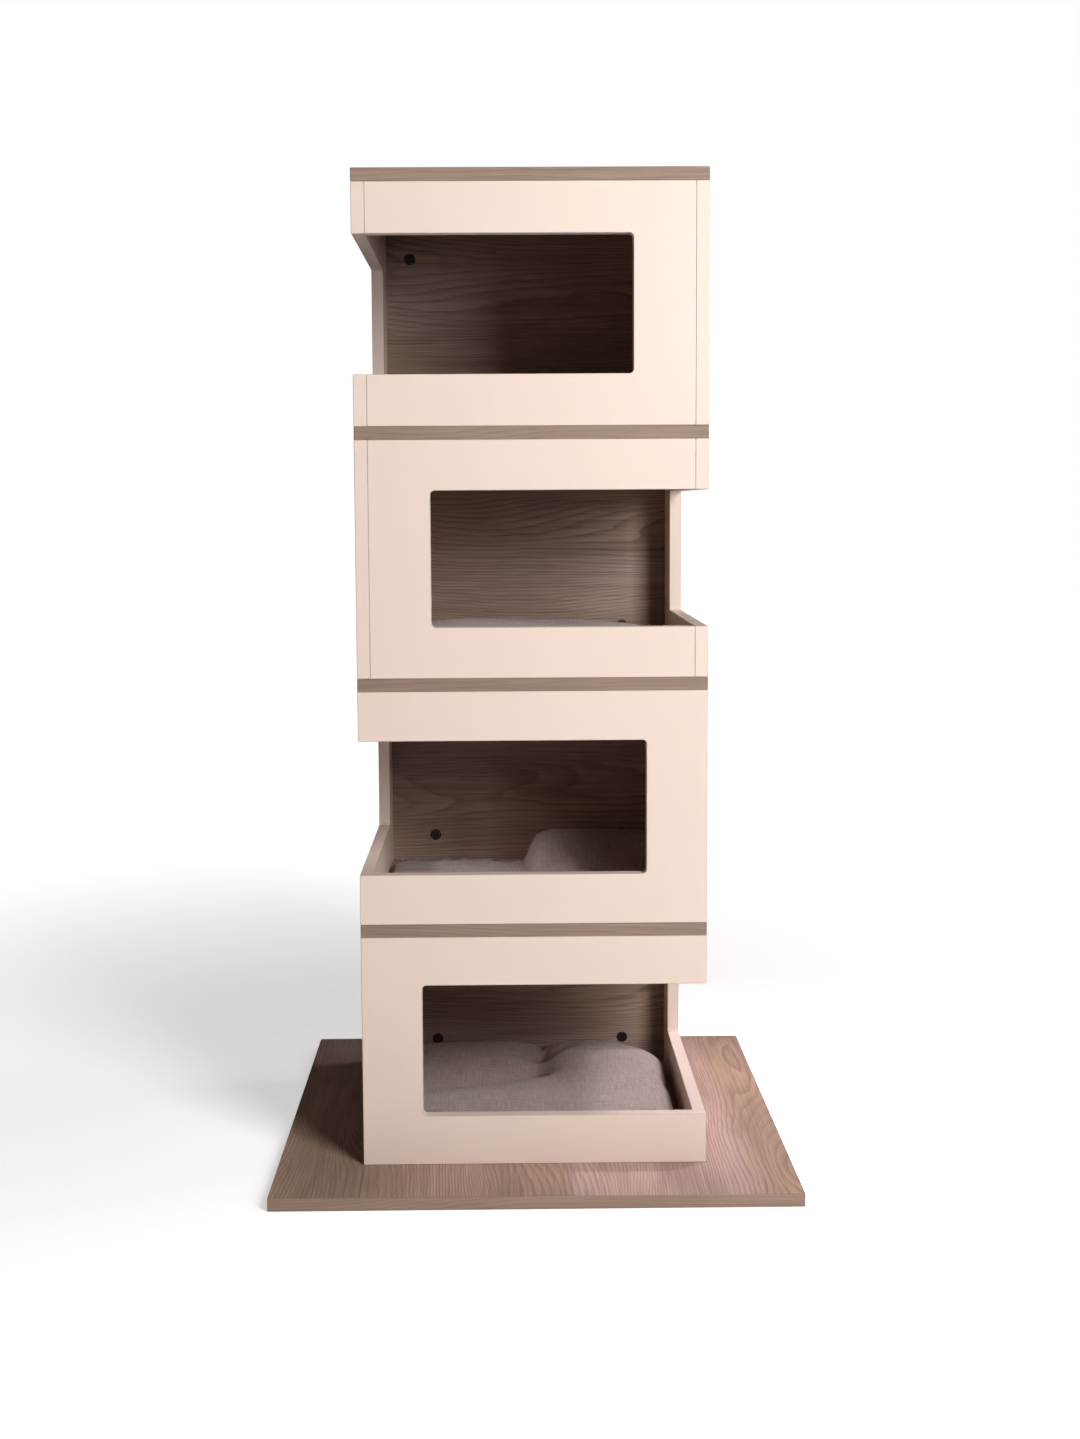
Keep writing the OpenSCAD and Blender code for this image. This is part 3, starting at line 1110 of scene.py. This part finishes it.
@dataclass
class Studio:
    """The floor, the air, the lamps and the camera."""

    eye: tuple[float, float, float] = (-0.0339, -2.2338, 0.7811)
    down: float = 0.0930
    right: float = 0.0106
    roll: float = -0.0055
    lens: float = 44.88
    shift: tuple[float, float] = (0.0126, -0.0327)
    sky: Colour = (1.0, 0.90, 0.85)
    sky_power: float = 0.04
    floor_half: float = 12.0
    floor_lines: int = 9
    floor_gap: float = 0.2 * MM
    sensor: float = 36.0

    def camera(self) -> None:
        """Stands the camera at eye height before the tower, tipped a little down."""
        ahead = np.array([math.sin(self.right) * math.cos(self.down),
                          math.cos(self.right) * math.cos(self.down), -math.sin(self.down)])
        across = np.array([math.cos(self.right), -math.sin(self.right), 0.0])
        up = np.cross(across, ahead)
        tilted = across * math.cos(self.roll) + up * math.sin(self.roll)
        raised = -across * math.sin(self.roll) + up * math.cos(self.roll)
        data = bpy.data.cameras.new("camera")
        data.sensor_fit = "VERTICAL"
        data.sensor_height = self.sensor
        data.lens = self.lens
        data.shift_x, data.shift_y = self.shift
        data.dof.use_dof = False
        camera = bpy.data.objects.new("camera", data)
        turn = Matrix(np.stack([tilted, raised, -ahead], axis=1).tolist())
        camera.matrix_world = Matrix.Translation(self.eye) @ turn.to_4x4()
        bpy.context.scene.collection.objects.link(camera)
        bpy.context.scene.camera = camera

    def air(self) -> None:
        """A white surround that the camera sees bright and that lights the tower only a little."""
        world = bpy.data.worlds.new("studio_air")
        world.use_nodes = True
        world.node_tree.nodes.clear()
        graph = Graph(world.node_tree)
        seen = graph.add("ShaderNodeLightPath").outputs["Is Camera Ray"]
        dim = graph.add("ShaderNodeBackground", {"Color": (*self.sky, 1), "Strength": self.sky_power})
        bright = graph.add("ShaderNodeBackground", {"Color": (1, 1, 1, 1), "Strength": 1.0})
        mixed = graph.add("ShaderNodeMixShader", {0: seen, 1: dim.outputs[0], 2: bright.outputs[0]})
        output = graph.add("ShaderNodeOutputWorld")
        graph.tree.links.new(mixed.outputs[0], output.inputs[0])
        bpy.context.scene.world = world

    def floor(self) -> None:
        """A wide pale floor a hair under the base plate."""
        line = np.linspace(-self.floor_half, self.floor_half, self.floor_lines)
        x, y = np.meshgrid(line, line, indexing="ij")
        points = np.stack([x, y, np.full_like(x, -self.floor_gap)], -1).reshape(-1, 3)
        quads = grid_quads(self.floor_lines, self.floor_lines)
        floor = new_piece("studio_floor", points, quads.tolist())
        floor.data.materials.append(PaleFloor().build())

    def build(self) -> None:
        """Makes the whole studio."""
        bpy.context.scene.view_settings.view_transform = "Standard"
        self.camera()
        self.air()
        self.floor()
        for lamp in LAMPS:
            lamp.build()


def cushions(linen: bpy.types.Material) -> list[Cushion]:
    """The four cushions, lowest first: tufted and full, heaped at the right, and two that lie flat."""
    tuft = (0.013, 0.100)
    fork = (0.004, 0.030)
    flat = Filling(pressure=2.0, spare_cloth=0.03, most=2.5 * MM, voxel=4 * MM)
    return [
        Cushion(1, linen, crown=32 * MM, pull_in=1 * MM, margin=0.3 * MM, fullness=6.0, tuft=tuft,
                fill=0.6, filling=Filling(most=8 * MM), forms=(
                    Mound(0.070, 0.090, 0.075, 0.085, 9 * MM),
                    Mound(-0.085, 0.100, 0.090, 0.060, 7 * MM),
                    Crease(tuft, fork, 0.019, 13 * MM),
                    Crease(fork, (-0.160, -0.040), 0.024, 17 * MM),
                    Mound(-0.060, -0.095, 0.110, 0.045, 4 * MM),
                    Crease(tuft, (0.018, 0.180), 0.018, 9 * MM),
                )),
        Cushion(2, linen, crown=9 * MM, seam=5 * MM, pull_in=1 * MM, margin=0.5 * MM, fill=0.3,
                filling=flat, fullness=8.0, forms=(
                    Fold((-0.006, 0.014), (-0.010, 0.060), 34 * MM),
                    Fold((0.020, -0.010), (0.105, 0.150), -7 * MM),
                    Mound(0.055, -0.015, 0.055, 0.045, 19 * MM),
                    Ruffle(0.031, 2.5 * MM, 0.060, -0.008),
                )),
        Cushion(3, linen, crown=38 * MM, forms=(
            Mound(-0.09, 0.02, 0.07, 0.08, 4 * MM),
            Crease((0.03, 0.02), (0.15, 0.12), 0.03, 5 * MM),
        )),
        Cushion(4, linen, crown=39 * MM, forms=(
            Mound(0.07, -0.03, 0.08, 0.07, 4 * MM),
            Crease((-0.04, 0.03), (-0.14, -0.10), 0.03, 5 * MM),
        )),
    ]


def main() -> None:
    """Builds the tower and its studio."""
    logging.basicConfig(level=logging.INFO, format="%(message)s")
    Studio().build()
    DecorBoards().build()
    white = SatinBoard().build()
    linen = Linen().build()
    for level in range(1, LEVELS + 1):
        WhitePanels(level, white).build()
    for cushion in cushions(linen):
        cushion.build()
    Fittings().build()


if __name__ == "__main__":
    main()
